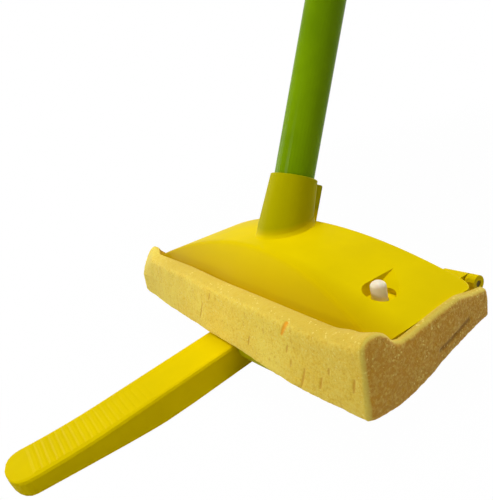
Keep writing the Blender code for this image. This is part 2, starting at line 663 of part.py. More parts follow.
def build_press_plate(hinge, material):
    """Pressing plate with its two hinge arms, drain slots, ribs and the slot for the catch rib."""
    top, bottom = PLATE_TOP, PLATE_TOP + PLATE_THICKNESS
    outline = plate_outline()
    bm = prism([(x, -s) for x, s in outline], "Z", -bottom, -top)
    plate = link_object("press_plate", bm, hinge, material, 35)
    for side in (-1, 1):
        join(plate, f"arm_guide_{side}", hinge_arm(side))
        join(plate, f"front_rib_guide_{side}", front_rib(side))
        for k in range(0, DRAIN_COLUMNS + 1, 2):
            x = side * (DRAIN_START + (k - 0.5) * DRAIN_PITCH)
            join(plate, f"cross_rib_guide_{side}_{k}", cross_rib(x))
    for place in LEVER_SCREW_PLACES:
        origin = wringer_place(0, place, 0)
        profile = [(bottom - 0.5, BOSS_RADIUS), (WEB_BOTTOM - SEAT_GAP, BOSS_RADIUS)]
        join(plate, f"boss_guide_{place}", turned(profile, origin, (0, 0, -1), 24))
        bore(plate, f"boss_hole_cutter_{place}", SCREW_RADIUS + SEAT_GAP,
             bottom - LEVER_SCREW_BITE - SEAT_GAP, WEB_BOTTOM + 1, origin, (0, 0, -1), 16)
    for side in (-1, 1):
        bore(plate, f"arm_pin_cutter_{side}", PIN_RADIUS + RUNNING_GAP, ARM_START - 1, ARM_END + 1,
             (0, 0, 0), (side, 0, 0), 20)
        for column in range(DRAIN_COLUMNS):
            for row, middle in enumerate(DRAIN_ROWS):
                slot = drain_slot(side * (DRAIN_START + column * DRAIN_PITCH), middle)
                cut(plate, f"drain_cutter_{side}_{column}_{row}", slot)


def plate_outline():
    """Plan of the pressing plate: bowed front, rounded ends, stepped back edge and catch slot."""
    slot = CATCH_THICKNESS / 2 + CATCH_SLOT_CLEARANCE
    arm_in = ARM_START - 6.0
    back = ARM_FRONT - ARM_THICKNESS
    right = [(slot, CATCH_SLOT_END), (slot, PLATE_BACK), (arm_in - 8.0, PLATE_BACK), (arm_in, back + 2.0),
             (ARM_START, back), (ARM_END, back), (ARM_END, 20.0), (ARM_END - 6.0, 34.0)]
    end_x = ARM_END - 6.0
    front_at = PLATE_FRONT - PLATE_FRONT_BOW
    for k in range(1, 5):
        a = math.radians(90 * k / 5)
        right.append((end_x - PLATE_END_RADIUS * (1 - math.cos(a)),
                      front_at - PLATE_END_RADIUS * (1 - math.sin(a))))
    for k in range(6):
        x = (end_x - PLATE_END_RADIUS) * (1 - k / 6)
        bow = (x / (end_x - PLATE_END_RADIUS)) ** 2
        right.append((x, PLATE_FRONT - PLATE_FRONT_BOW * bow))
    left = [(-x, s) for x, s in reversed(right)]
    return right + [(0.0, PLATE_FRONT)] + left


def hinge_arm(side):
    """Arm that rises behind the sponge and curls into the hinge barrel."""
    front, back = ARM_FRONT, ARM_FRONT - ARM_THICKNESS
    bottom = PLATE_TOP + PLATE_THICKNESS
    outline = [(-front, -bottom), (-front, -0.5)]
    for k in range(12):
        a = math.radians(170 - 260 * k / 11)
        outline.append((HINGE_RADIUS * math.cos(a), HINGE_RADIUS * math.sin(a)))
    outline.append((-back, -HINGE_RADIUS - 0.8))
    outline.append((-back, -bottom))
    start, end = sorted((side * ARM_START, side * ARM_END))
    return prism(outline, "X", start, end)


def cross_rib(x):
    """Stiffening rib under the plate between two columns of drain slots."""
    bottom = PLATE_TOP + PLATE_THICKNESS
    front = PLATE_FRONT - PLATE_FRONT_BOW - FRONT_RIB_INSET + RIB_THICKNESS
    low = (x - RIB_THICKNESS / 2, -front, -bottom - PLATE_RIB_DEPTH)
    return box(low, (x + RIB_THICKNESS / 2, -PLATE_RIB_START, -bottom + 0.5))


def front_rib(side):
    """Half of the rib along the plate's bowed front, which stops short of the lever."""
    bottom = PLATE_TOP + PLATE_THICKNESS
    start = LEVER_WIDTH / 2 + SEAT_GAP
    reach = ARM_END - PLATE_END_RADIUS
    front, back = [], []
    for k in range(7):
        x = start + (reach - start) * k / 6
        s = PLATE_FRONT - PLATE_FRONT_BOW * (x / reach) ** 2 - FRONT_RIB_INSET
        front.append((side * x, -s))
        back.append((side * x, -s + RIB_THICKNESS))
    return prism(front + back[::-1], "Z", -bottom - PLATE_RIB_DEPTH, -bottom + 0.5)


def drain_slot(x, middle):
    radius = DRAIN_WIDTH / 2
    straight = DRAIN_LENGTH / 2 - radius
    outline = []
    for k in range(5):
        a = math.radians(180 * k / 4)
        outline.append((x + radius * math.cos(a), -middle + straight + radius * math.sin(a)))
    for k in range(5):
        a = math.radians(180 + 180 * k / 4)
        outline.append((x + radius * math.cos(a), -middle - straight + radius * math.sin(a)))
    return prism(outline, "Z", -PLATE_TOP - PLATE_THICKNESS - PLATE_RIB_DEPTH - 2, -PLATE_TOP + 2)


def lever_top(s, step=LEVER_STEP):
    """How far the lever's top face lies below the hinge, s millimetres forward."""
    curl = max(0.0, (s - LEVER_CURL_START) / (LEVER_TIP - LEVER_CURL_START))
    return (WEB_TOP if s < step else PLATE_TOP) - LEVER_CURL * curl ** 2


def lever_bottom(s):
    """How far the lever's lower edge lies below the hinge: level, then a knee, a taper and the tip's chin."""
    past = max(0.0, s - LEVER_KNEE)
    rise = LEVER_TAPER * (math.hypot(past, LEVER_KNEE_BEND) - LEVER_KNEE_BEND)
    chin = min(1.0, max(0.0, s - LEVER_TIP + LEVER_CHIN) / LEVER_CHIN)
    return LEVER_BOTTOM - rise - 0.85 * LEVER_CHIN * (1 - math.sqrt(1 - chin ** 2))


def lever_half_width(s, inset=0.0):
    half = LEVER_WIDTH / 2 - inset
    past = s - (LEVER_TIP - LEVER_TIP_RADIUS)
    if past <= 0:
        return half
    u = min(past / (LEVER_TIP_RADIUS - inset), 0.995)
    return max(half * (1 - u ** 3) ** 0.42, 1.0)


def lever_stations(start, step, end, ribbed):
    """Places along the lever: two at the step, three to a grip rib, closer round the tip."""
    places = [start, step - 0.02, step]
    places += [step + (GRIP_RIBS_START - step) * k / 3 for k in (1, 2)]
    if ribbed:
        for k in range(GRIP_RIB_COUNT):
            places += [GRIP_RIBS_START + (k + u) * GRIP_RIB_PITCH for u in (0.0, 0.3, 0.7)]
    else:
        places += [GRIP_RIBS_START + k * GRIP_RIB_COUNT * GRIP_RIB_PITCH / 6 for k in range(6)]
    last = LEVER_TIP - LEVER_TIP_RADIUS
    places += [last + (end - last) * math.sin(math.radians(90 * k / 7)) for k in range(8)]
    return places


def rib_lift(s):
    """Height of the grip ribs: full over the outer lever, fading towards the sponge."""
    along = (s - GRIP_RIBS_START) / GRIP_RIB_PITCH
    if along < 0 or along > GRIP_RIB_COUNT - 0.2:
        return 0.0
    phase = along - math.floor(along + 1e-6)
    fade = min(1.0, 0.35 + along / GRIP_RIB_COUNT)
    return GRIP_RIB_HEIGHT * fade if 0.25 < phase < 0.75 else 0.0


def build_lever(hinge, material):
    """Channel-shaped wringing lever: ribbed top, open underside, screwed under the press plate."""
    rings = []
    for s in lever_stations(LEVER_START, LEVER_STEP, LEVER_TIP, True):
        half = lever_half_width(s)
        top = lever_top(s)
        depth = lever_bottom(s) - top
        lift = rib_lift(s)
        soft = min(1.0, half / 4.0)
        right = [(half, depth), (half, 1.8), (half - 0.6 * soft, 0.5), (half - 2.0 * soft, 0.0),
                 (half - 2.6 * soft, -lift)]
        outline = right + [(-x, down) for x, down in right[::-1]]
        rings.append([(x, -s, -top - down) for x, down in outline])
    lever = link_object("press_lever", loft(rings), hinge, material, 35)
    rings = []
    step = LEVER_STEP + LEVER_WALL
    for s in lever_stations(LEVER_START - 3.0, step, LEVER_TIP - LEVER_WALL, False):
        half = lever_half_width(s, LEVER_WALL)
        top = lever_top(s, step) + LEVER_WALL
        low = LEVER_BOTTOM + 1.0
        outline = [(-half, -low), (half, -low), (half, -top), (-half, -top)]
        rings.append([(x, -s, z) for x, z in outline])
    cut(lever, "channel_cutter", loft(rings))
    for place in LEVER_SCREW_PLACES:
        bore(lever, f"boss_clear_cutter_{place}", BOSS_RADIUS + SEAT_GAP, WEB_TOP - 3, WEB_BOTTOM + 3,
             wringer_place(0, place, 0), (0, 0, -1))
    for k in range(WEB_RIB_COUNT):
        s = WEB_RIB_START + k * WEB_RIB_PITCH
        web = lever_top(s) + LEVER_WALL
        half = LEVER_WIDTH / 2 - LEVER_WALL / 2
        low = (-half, -s - RIB_THICKNESS / 2, -web - WEB_RIB_DEPTH)
        join(lever, f"web_rib_guide_{k}", box(low, (half, -s + RIB_THICKNESS / 2, -web + 0.8)))


def build_lever_screws(hinge, material):
    """Screws from the channel up into the plate's bosses, their heads under the lever's web."""
    seat = WEB_BOTTOM + SEAT_GAP
    tip = PLATE_TOP + PLATE_THICKNESS - LEVER_SCREW_BITE
    head = BOSS_RADIUS + 1.8
    profile = [(tip, SCREW_RADIUS), (seat, SCREW_RADIUS), (seat, head),
               (seat + 1.2, head), (seat + 1.9, head - 1.4)]
    for name, place in zip(("lever_screw_back", "lever_screw_front"), LEVER_SCREW_PLACES):
        screw = turned(profile, wringer_place(0, place, 0), (0, 0, -1), 20)
        link_object(name, screw, hinge, material, 40)


def build_mop():
    clear_scene()
    frame = bpy.data.objects.new("mop_frame", None)
    bpy.context.scene.collection.objects.link(frame)
    frame.location = -HANG_POINT * MM
    hinge = bpy.data.objects.new("wringer_hinge_axis", None)
    bpy.context.scene.collection.objects.link(hinge)
    hinge.parent = frame
    hinge.location = Vector((0, HINGE_Y, HINGE_Z)) * MM
    hinge.rotation_euler.x = math.radians(WRINGER_PITCH)

    yellow = plastic("yellow_plastic", (0.74, 0.55, 0.005))
    foam = plastic("cellulose_sponge", (0.70, 0.50, 0.09), 0.95)
    white = plastic("white_plastic", (0.72, 0.66, 0.60), 0.4)
    green = plastic("green_coating", (0.26, 0.45, 0.01), 0.2)
    grey = plastic("plug_plastic", (0.05, 0.05, 0.05), 0.5)
    steel = plastic("zinc_steel", (0.60, 0.60, 0.58), 0.35, 1.0)

    build_housing(frame, yellow)
    build_pins(frame, steel)
    build_tube(frame, green)
    build_plug(frame, grey)
    build_socket_screw(frame, steel)
    build_grip(frame, yellow)
    build_carrier(frame, white)
    build_stud(frame, white)
    build_sponge(frame, foam)
    build_press_plate(hinge, yellow)
    build_lever(hinge, yellow)
    build_lever_screws(hinge, steel)


build_mop()
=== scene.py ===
"""Looks of the sponge mop: finishes for its rigid pieces, a foam refill, a studio and the camera.

Lengths are in millimetres in the head's own frame, as the construction has them: X along the
head, Y towards the hinge, Z up, with the origin at the middle of the head. MM and HEAD turn
them into the frame's metres. Materials work in the frame's metres, with texture scales per metre.
"""
import json
import math

import bmesh
import bpy
import numpy as np
from mathutils import Matrix, Vector, noise
from mathutils.geometry import delaunay_2d_cdt


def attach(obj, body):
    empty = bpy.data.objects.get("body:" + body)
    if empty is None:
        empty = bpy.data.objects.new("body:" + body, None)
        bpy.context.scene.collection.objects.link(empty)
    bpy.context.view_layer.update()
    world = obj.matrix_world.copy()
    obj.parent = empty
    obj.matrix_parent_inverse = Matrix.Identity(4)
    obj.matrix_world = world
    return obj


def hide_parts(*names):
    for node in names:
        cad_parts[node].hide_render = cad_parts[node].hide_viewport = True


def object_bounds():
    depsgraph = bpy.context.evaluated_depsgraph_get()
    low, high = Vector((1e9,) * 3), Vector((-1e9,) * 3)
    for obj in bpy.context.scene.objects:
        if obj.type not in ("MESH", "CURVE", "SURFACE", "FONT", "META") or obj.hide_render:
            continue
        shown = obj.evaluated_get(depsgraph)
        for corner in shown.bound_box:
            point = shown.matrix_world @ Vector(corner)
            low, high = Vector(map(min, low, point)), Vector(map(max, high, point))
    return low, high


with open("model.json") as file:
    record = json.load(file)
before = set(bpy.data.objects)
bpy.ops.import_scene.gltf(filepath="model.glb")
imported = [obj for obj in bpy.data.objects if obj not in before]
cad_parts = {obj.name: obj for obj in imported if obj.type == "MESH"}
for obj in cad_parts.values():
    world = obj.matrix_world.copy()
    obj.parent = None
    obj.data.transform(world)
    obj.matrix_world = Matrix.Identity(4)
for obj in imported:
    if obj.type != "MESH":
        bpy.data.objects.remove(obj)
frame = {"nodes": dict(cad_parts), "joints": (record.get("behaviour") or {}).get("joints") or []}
cad_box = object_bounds()

MM = 0.001
HINGE = Vector((0.0, 44.5, -3.2))
HEAD = Vector(frame["joints"][0]["pos_m"]) - HINGE * MM

# Camera, in the head's frame
CAMERA_PLACE = Vector((237.4, -147.4, 106.9))
CAMERA_AZIMUTH = 60.3
CAMERA_ELEVATION = 18.0
CAMERA_ROLL = -13.4
FOCAL_PIXELS = 481.0
PHOTO_SIZE = (493, 500)
SENSOR = 36.0
NEAR_CLIP = 0.01

# Studio, with the floor's lengths in metres
WORLD_LEVEL = 0.04       # what the white world gives the object; it is seen at full white
FLOOR_GREY = (0.62, 0.62, 0.62, 1.0)
FLOOR_REACH = 6.0
FLOOR_DROP = 0.0005
FLOOR_FADE = (0.5, 1.3)  # distance from the frame's origin over which the floor turns plain white
FLOOR_WHITE = 0.90       # share of plain white where that starts
# Even light from soft discs: where each comes from, its strength and its width in degrees
SUNS = {
    "key": ((60, 140, 1000), 2.6, 40),
    "side_fill": ((-1000, -450, 230), 0.92, 30),
    "front_fill": ((-150, -1150, 110), 0.6, 10),
    "back_fill": ((-150, 1000, 200), 0.55, 20),
}
# Narrow lamp whose reflection runs down the tube
STRIP_PLACE, STRIP_TARGET = (-60, -800, 640), (0, 80, 125)
STRIP_SIZE = (0.004, 0.36)
STRIP_WATTS = 0.042
STRIP_SPREAD = 16

# Sizes shared with the construction
HALF_LENGTH = 113.75
HALF_DEPTH = 36.95
SEAT_GAP = 0.3
SKIRT_DEPTH = 5.0
HEAD_WALL = 2.5
SOCKET_FOOT = 21.3       # height of the socket's base on the arch
ARM_END = 110.7
PITCH = math.radians(6.4)
PLATE_TOP = 13.7
PLATE_FRONT = 88.5
PLATE_FRONT_BOW = 10.0
PLATE_FRONT_REACH = 101.7
PLATE_STRAIGHT_END = 105.2
LEVER_SIDE = 14.75

# Sponge's outline
SPONGE_HALF = HALF_LENGTH + 3.65
FRONT = -HALF_DEPTH - 3.6
KNEE_STEP, KNEE_DROP = 0.8, 3.0    # where the front face turns down to its foot
BACK = HALF_DEPTH + 2.8
BACK_BULGE = 2.0
BACK_TOP = 8.2
BACK_ROUND = (0.6, 1.2)
BED_SETBACK, BED_STEP = 4.0, 2.0   # from the head's back wall, and up to the back's top
LIP_REACH = 5.8          # of the foam over the head's front flange
CREST_SETBACK = 1.5      # from there to where the rim starts to level
EDGE = 1.2
BELLY = 4.8
# Height of the rim along the sponge, as (share of half its length, z), and of the free ends (y, z)
RIM = ((-1.0, 7.2), (-0.43, 7.6), (0.1, 5.5), (0.78, 4.8), (0.9, 7.0), (1.0, 9.8))
LEFT_END = ((-33.2, 7.2), (-28.0, 7.4), (-22.0, 3.4), (-17.0, -1.8), (39.0, -2.6))
RIGHT_END = ((-33.2, 9.8), (-29.0, 8.6), (-20.0, -0.4), (20.0, 2.2), (39.0, -2.0))
END_PLACES = (-29.5, -26.0, -22.5, -18.5, -12.0, 6.0, 20.0, 31.0)
# How far forward the front face's foot stands along the sponge, as (x, y)
FOOT_LINE = ((-117.4, -40.7), (-96.0, -41.8), (-65.0, -42.9), (-41.0, -43.5), (-15.0, -44.2),
             (16.0, -44.2), (34.0, -44.7), (56.0, -45.6), (71.0, -45.9), (87.0, -44.9),
             (97.0, -44.2), (108.0, -43.4), (117.4, -42.3))
# Rounded edges, each as steps back and up: from the foot, from the front face's top, from the
# front flange's foot at the rim's height, and from the back edge where the end is free
FOOT_ROUND = ((0.3, 0.4), (0.0, 1.7))
FRONT_ROUND = ((0.0, -5.2), (0.8, -2.6), (2.6, -0.8), (4.9, 0.0))
FOLD_ROUND = ((0.3, -0.5), (0.8, -1.8))
END_ROUND = ((-0.9, 0.0), (0.0, -2.0))
# The left ear's front, drawn back to a horn: the outline's first corners at the very end
HORN = ((-39.4, -26.0), (-41.0, -25.3), (-42.2, -22.2), (-41.4, -9.6), (-39.0, -4.0),
        (-36.4, -0.2), (-33.9, 3.2), (-31.2, 6.2), (-28.6, 8.3), (-26.2, 8.7), (-24.2, 7.2))
HORN_START = 92.0
# Runs over which the bulge and the belly come in past the arms and the plate's ends, and how far
# back the belly goes at the plate's ends
PAST_ARM = 1.4
PAST_PLATE = 5.0
BELLY_BACK, BELLY_BACK_RUN = 9.0, 8.0

# Sponge's web: points on each side of the outline, spacing of stations and the end faces
RING_STEPS = (2, 3, 20, 12, 4, 3, 3, 3, 4, 4, 5, 7, 8, 16, 14, 12, 8, 3, 10, 3)
HELD_SIDES = range(9, 18)      # the sides that lie in the head's skirt
# The upper side's points where the end is free
TOP_POINTS = slice(sum(RING_STEPS[:8]), sum(RING_STEPS[:19]))
UNDER_STEPS = 72
RING_SMOOTHING, SMOOTHING_SHARE = 3, 0.5
FREE_SMOOTHING = 4
WALL_CLEAR, WALL_CLEAR_RUN = 0.1, 1.0  # from the head's end to where points may move freely
STATION_PITCH = 0.66
STEP_MARGINS = (0.035, 0.02)   # from the head's end to the stations before and past it
END_ROUNDING = 2.4
ROUNDING_STEPS = 6
END_BULGE = 0.6
BULGE_RUN = 5.0
WEB_PITCH = 0.9
WEB_CLEARANCE = 0.55
INSIDE_ONLY = 1          # the triangulation keeps only what lies inside the outline
WELD_DISTANCE = 1e-5

# Foam's relief: each wave as its height, its turns per millimetre and a shift of its own
BROAD_WAVE = (0.42, 0.045, (0, 0, 0))
SHORT_WAVE = (0.22, 0.17, (7, 3, 1))
GRAIN = (0.15, 0.55, (0, 0, 0))
FINE_GRAIN = (0.11, 1.3, (0, 0, 0))
PIT_CELLS = 0.30
PIT_REACH, PIT_SLOPE = 0.24, 0.2
PIT_DEPTH = 0.45
PIT_SHADE = 0.4
PIT_PATCHES = (1.0, 0.11, (31, 17, 5))
PATCH_START, PATCH_RUN = 0.05, 0.3
# Slits of the front face, each as its two ends (x, z), its depth and its half width
SLITS = (
    (((-16.3, -7.8), (-23.0, -20.0)), 0.9, 0.45), (((70.1, 5.5), (64.4, -3.7)), 0.9, 0.75),
    (((80.8, -15.1), (78.2, -24.5)), 0.9, 0.5), (((91.5, -15.8), (90.4, -21.1)), 0.8, 0.5),
    (((111.2, -8.7), (109.9, -15.1)), 0.9, 0.55), (((35.2, -13.8), (33.6, -19.0)), 0.7, 0.45),
    (((96.1, -9.4), (95.9, -12.6)), 0.8, 0.5), (((68.4, -8.1), (67.6, -11.9)), 0.7, 0.45),
    (((-4.3, 0.6), (-6.7, -3.7)), 0.6, 0.45), (((71.0, -14.1), (70.7, -17.8)), 0.7, 0.45),
)
SLIT_SHARE = 0.4         # share of its depth that a slit is pressed in
SLIT_NARROW, SLIT_SWELL = 0.9, 0.7     # shares of its half width at its ends, and added between
FACING = 0.5             # a normal's share along an axis, from which a point faces that way
FACE_DEPTH = 1.5         # how far back the front face's points lie
WARM_SLIT = SLITS[1][0]  # the one with an orange bottom
WARM_REACH = 2.0
# Crease across the right end face, as corners (y, z)
CREASE = ((3.8, -16.1), (14.8, -14.1), (24.9, -11.4))
CREASE_WIDTH = 1.3
CREASE_DEPTH = 0.55

# Front lip of the press plate, measured from the hinge as the plate is: (forward, down) steps
# from the top of the plate's front edge, from the lip's foot, and back at the plate's underside
LIP_TOP = ((-1.7, 0.4), (-0.5, 0.3), (0.0, 0.8))
LIP_FOOT = ((0.0, -0.6), (-0.2, -0.2), (-0.6, 0.0), (-1.3, 0.0), (-1.6, -0.4))
LIP_BACK = ((-1.7, 2.2),)
LIP_PROUD = 0.1
LIP_DEPTH = 7.8
LIP_LEAST_DEPTH = 2.3
LIP_END = 78.0
LIP_FADE = 24.0
LIP_STATIONS = 40

# Display colours out of 255; a pair is the two ends of a cloudy mix
YELLOW = ((225, 198, 0), (232, 205, 0))
# Painted shade on the head's front slope; painted shade and the tube's green up the socket
YELLOW_SLOPE_SHADE = (207, 174, 0)
YELLOW_SOCKET_SHADE_AND_GREEN = (177, 169, 0)
GREEN = ((108, 142, 0), (120, 155, 2))
WHITE = ((240, 226, 192), (248, 238, 212))
GREY = ((40, 40, 42), (58, 58, 60))
ZINC = ((176, 176, 172), (208, 208, 202))
DARK_STEEL = ((84, 72, 20), (104, 90, 30))
FOAM = ((250, 213, 62), (255, 227, 82))
# Painted shade: darker and more orange towards the sponge's right end
FOAM_RIGHT_SHADE = (222, 172, 36)
# Painted shade, darker and more orange, on both end faces
FOAM_END_SHADE = (203, 130, 8)
FOAM_LIGHT = (254, 232, 112)
FOAM_DARK = (222, 174, 40)
FOAM_STREAK = (222, 170, 36)
# Painted shade on the upward faces, away from the left end
FOAM_TOP_SHADE = (218, 184, 58)
# Painted sheen: paler on the rims of the end faces
FOAM_EDGE_SHEEN = (228, 206, 90)
# Painted shade in pits, slits and the crease: on the front, and browner on the end faces
FOAM_SHADE = ((214, 150, 20), (146, 90, 12))
FOAM_WARM = (255, 176, 20)
# Painted glints: small bright specks
FOAM_GLINT = (255, 232, 118)
# Where the yellow plastic is painted in shade: front and back of the front slope with their runs,
# and how far under the socket's base its painted shade and green start, with its run
SLOPE_SHADE_FRONT, SLOPE_SHADE_FRONT_RUN = -29.5, 3
SLOPE_SHADE_BACK, SLOPE_SHADE_BACK_RUN = -7.0, 16
SOCKET_SHADE_DROP, SOCKET_SHADE_RUN = 0.5, 6


def place(point):
    """A point of the head's frame, in the frame's metres."""
    return HEAD + Vector(point) * MM


# Material helpers

class Shader:
    """A material's node tree, built one named node at a time."""

    def __init__(self, name):
        self.material = bpy.data.materials.new(name)
        self.material.use_nodes = True
        self.tree = self.material.node_tree
        self.principled = self.tree.nodes["Principled BSDF"]

    def node(self, kind, inputs=None, **settings):
        made = self.tree.nodes.new(kind)
        for key, value in settings.items():
            setattr(made, key, value)
        for key, value in (inputs or {}).items():
            self.feed(made.inputs[key], value)
        return made

    def feed(self, socket, value):
        if isinstance(value, bpy.types.NodeSocket):
            self.tree.links.new(value, socket)
        else:
            socket.default_value = value

    def coordinates(self, scale=(1.0, 1.0, 1.0)):
        texture = self.node("ShaderNodeTexCoord").outputs["Object"]
        mapping = self.node("ShaderNodeMapping", {"Vector": texture, "Scale": scale})
        return mapping.outputs["Vector"]

    def attribute(self, name):
        return self.node("ShaderNodeAttribute", attribute_name=name).outputs["Fac"]

    def split(self, vector):
        return self.node("ShaderNodeSeparateXYZ", {"Vector": vector}).outputs

    def noise(self, vector, scale, detail=3.0, roughness=0.5):
        made = self.node("ShaderNodeTexNoise", {"Vector": vector, "Scale": scale,
                                                "Detail": detail, "Roughness": roughness})
        return made.outputs["Fac"]

    def cells(self, vector, scale, output="Distance"):
        made = self.node("ShaderNodeTexVoronoi", {"Vector": vector, "Scale": scale})
        return made.outputs[output]

    def ramp(self, value, low, high, start=0.0, end=1.0):
        made = self.node("ShaderNodeMapRange", {"Value": value, "From Min": low, "From Max": high,
                                                "To Min": start, "To Max": end})
        return made.outputs["Result"]

    def maths(self, operation, first, second):
        made = self.node("ShaderNodeMath", {0: first, 1: second}, operation=operation)
        return made.outputs["Value"]

    def mix(self, factor, first, second):
        made = self.node("ShaderNodeMix", data_type="RGBA")
        self.feed(made.inputs["Factor"], factor)
        self.feed(made.inputs["A"], first)
        self.feed(made.inputs["B"], second)
        return made.outputs["Result"]

    def between(self, factor, pair):
        """A mix of the two display colours of a pair."""
        return self.mix(factor, colour(*pair[0]), colour(*pair[1]))

    def tint(self, base, share, shade):
        """The base colour with a share of a display colour over it."""
        return self.mix(share, base, colour(*shade))

    def bump(self, height, strength, distance, normal=None):
        made = self.node("ShaderNodeBump", {"Height": height, "Strength": strength,
                                            "Distance": distance})
        if normal:
            self.feed(made.inputs["Normal"], normal)
        return made.outputs["Normal"]

    def set(self, **sockets):
        for name, value in sockets.items():
            self.feed(self.principled.inputs[name.replace("_", " ")], value)


def colour(red, green, blue):
    """Linear colour from display values out of 255."""
    def linear(value):
        share = value / 255.0
        return share / 12.92 if share <= 0.04045 else ((share + 0.055) / 1.055) ** 2.4
    return (linear(red), linear(green), linear(blue), 1.0)


# Materials

def yellow_plastic():
    """Moulded yellow plastic with flow marks, a fine grain and a satin gloss.

    It is painted in shade on the head's front slope. Up the socket it is painted in shade, and
    greener for the green tube showing through its thin wall.
    """
    shader = Shader("yellow_plastic_finish")
    spot = shader.coordinates()
    cloud = shader.noise(spot, scale=26.0, detail=4.0, roughness=0.55)
    base = shader.between(shader.ramp(cloud, 0.35, 0.65), YELLOW)
    along = shader.split(spot)
    # Painted shade on the head's front slope
    front, back = (HEAD.y + y * MM for y in (SLOPE_SHADE_FRONT, SLOPE_SHADE_BACK))
    slope = shader.maths("MULTIPLY",
                         shader.ramp(along["Y"], front, front + SLOPE_SHADE_FRONT_RUN * MM),
                         shader.ramp(along["Y"], back, back - SLOPE_SHADE_BACK_RUN * MM))
    base = shader.tint(base, slope, YELLOW_SLOPE_SHADE)
    # Painted shade from just under the socket's base upwards, greener for the tube showing through
    low = HEAD.z + (SOCKET_FOOT - SOCKET_SHADE_DROP) * MM
    socket = shader.ramp(along["Z"], low, low + SOCKET_SHADE_RUN * MM)
    base = shader.tint(base, socket, YELLOW_SOCKET_SHADE_AND_GREEN)
    grain = shader.noise(spot, scale=2600.0, detail=2.0)
    scuffs = shader.noise(shader.coordinates((1.0, 0.15, 1.0)), scale=420.0, detail=2.0,
                          roughness=0.6)
    normal = shader.bump(grain, strength=0.08, distance=0.00012)
    normal = shader.bump(scuffs, strength=0.05, distance=0.0002, normal=normal)
    gloss = shader.ramp(cloud, 0.3, 0.7, 0.40, 0.52)
    shader.set(Base_Color=base, Roughness=gloss, Normal=normal, Specular_IOR_Level=0.015,
               Specular_Tint=(1.0, 0.88, 0.2, 1.0))
    return shader.material


def green_coating():
    """Glossy green coating over a drawn steel tube, with a slight orange peel."""
    shader = Shader("green_coating_finish")
    spot = shader.coordinates()
    cloud = shader.noise(spot, scale=35.0)
    base = shader.between(shader.ramp(cloud, 0.35, 0.65), GREEN)
    peel = shader.noise(spot, scale=240.0, detail=2.0)
    normal = shader.bump(peel, strength=0.05, distance=0.0006)
    shader.set(Base_Color=base, Roughness=shader.ramp(cloud, 0.35, 0.65, 0.09, 0.2),
               Normal=normal, Specular_IOR_Level=0.02)
    return shader.material


def sponge_foam():
    """Cellulose foam: fine pores in a mottled yellow, with small glints.

    The mesh's attributes say how strongly pits, slits and the crease are painted in shade, where
    one slit is warm, which end faces are painted in shade, the painted sheen on their rims and
    where the upper side is painted in shade.
    """
    shader = Shader("cellulose_foam_finish")
    spot = shader.coordinates()
    deep, warm, cut, edge, top = (shader.attribute(name)
                                  for name in ("deep", "warm", "cut", "edge", "top"))
    pores = shader.cells(spot, scale=1500.0)
    mottle = shader.noise(spot, scale=760.0, roughness=0.65)
    cloud = shader.noise(spot, scale=38.0, detail=4.0, roughness=0.6)
    streaks = shader.noise(shader.coordinates((1.0, 1.0, 0.3)), scale=330.0, roughness=0.6)
    base = shader.between(shader.ramp(cloud, 0.36, 0.64), FOAM)
    # Painted shade, darker towards the right end from 45 to 105 mm along
    across = shader.split(spot)["X"]
    base = shader.tint(base, shader.ramp(across, 0.045, 0.105, 0.0, 0.4), FOAM_RIGHT_SHADE)
    # Painted shade on the end faces
    base = shader.tint(base, shader.ramp(cut, 0.1, 1.0, 0.0, 0.9), FOAM_END_SHADE)
    base = shader.tint(base, shader.ramp(mottle, 0.42, 0.72, 0.0, 0.6), FOAM_LIGHT)
    base = shader.tint(base, shader.ramp(mottle, 0.45, 0.28, 0.0, 0.7), FOAM_DARK)
    base = shader.tint(base, shader.ramp(streaks, 0.60, 0.78, 0.0, 0.7), FOAM_STREAK)
    # Painted shade on the upward faces
    base = shader.tint(base, shader.ramp(top, 0.0, 1.0, 0.0, 0.75), FOAM_TOP_SHADE)
    # Painted sheen on the rims of the end faces
    base = shader.tint(base, shader.ramp(edge, 0.0, 1.0, 0.0, 0.65), FOAM_EDGE_SHEEN)
    # Painted shade in pits, slits and the crease, browner on the end faces
    shade = shader.between(cut, FOAM_SHADE)
    base = shader.mix(shader.ramp(deep, 0.15, 0.9, 0.0, 0.75), base, shade)
    base = shader.tint(base, shader.ramp(warm, 0.1, 0.8), FOAM_WARM)
    # Painted glints: single pore cells lit up in patches, and less rough there
    chance = shader.node("ShaderNodeSeparateColor",
                         {"Color": shader.cells(spot, scale=1350.0, output="Color")})
    patches = shader.noise(spot, scale=95.0, detail=2.0)
    least = shader.ramp(patches, 0.44, 0.64, 1.0, 0.945)
    glints = shader.maths("GREATER_THAN", chance.outputs["Red"], least)
    base = shader.tint(base, shader.maths("MULTIPLY", glints, 0.7), FOAM_GLINT)
    normal = shader.bump(pores, strength=0.3, distance=0.0004)
    normal = shader.bump(mottle, strength=0.45, distance=0.0008, normal=normal)
    shader.set(Base_Color=base, Roughness=shader.ramp(glints, 0.0, 1.0, 0.9, 0.5), Normal=normal,
               Specular_IOR_Level=0.2, Sheen_Weight=0.25, Sheen_Roughness=0.5,
               Sheen_Tint=(0.93, 0.95, 0.62, 1.0))
    return shader.material


def white_plastic():
    """Milky moulded plastic that lets a little light in."""
    shader = Shader("white_plastic_finish")
    spot = shader.coordinates()
    base = shader.between(shader.noise(spot, scale=160.0), WHITE)
    normal = shader.bump(shader.noise(spot, scale=2400.0), strength=0.06, distance=0.0001)
    shader.set(Base_Color=base, Roughness=0.4, Normal=normal, Subsurface_Weight=0.15,
               Subsurface_Scale=0.002)
    return shader.material


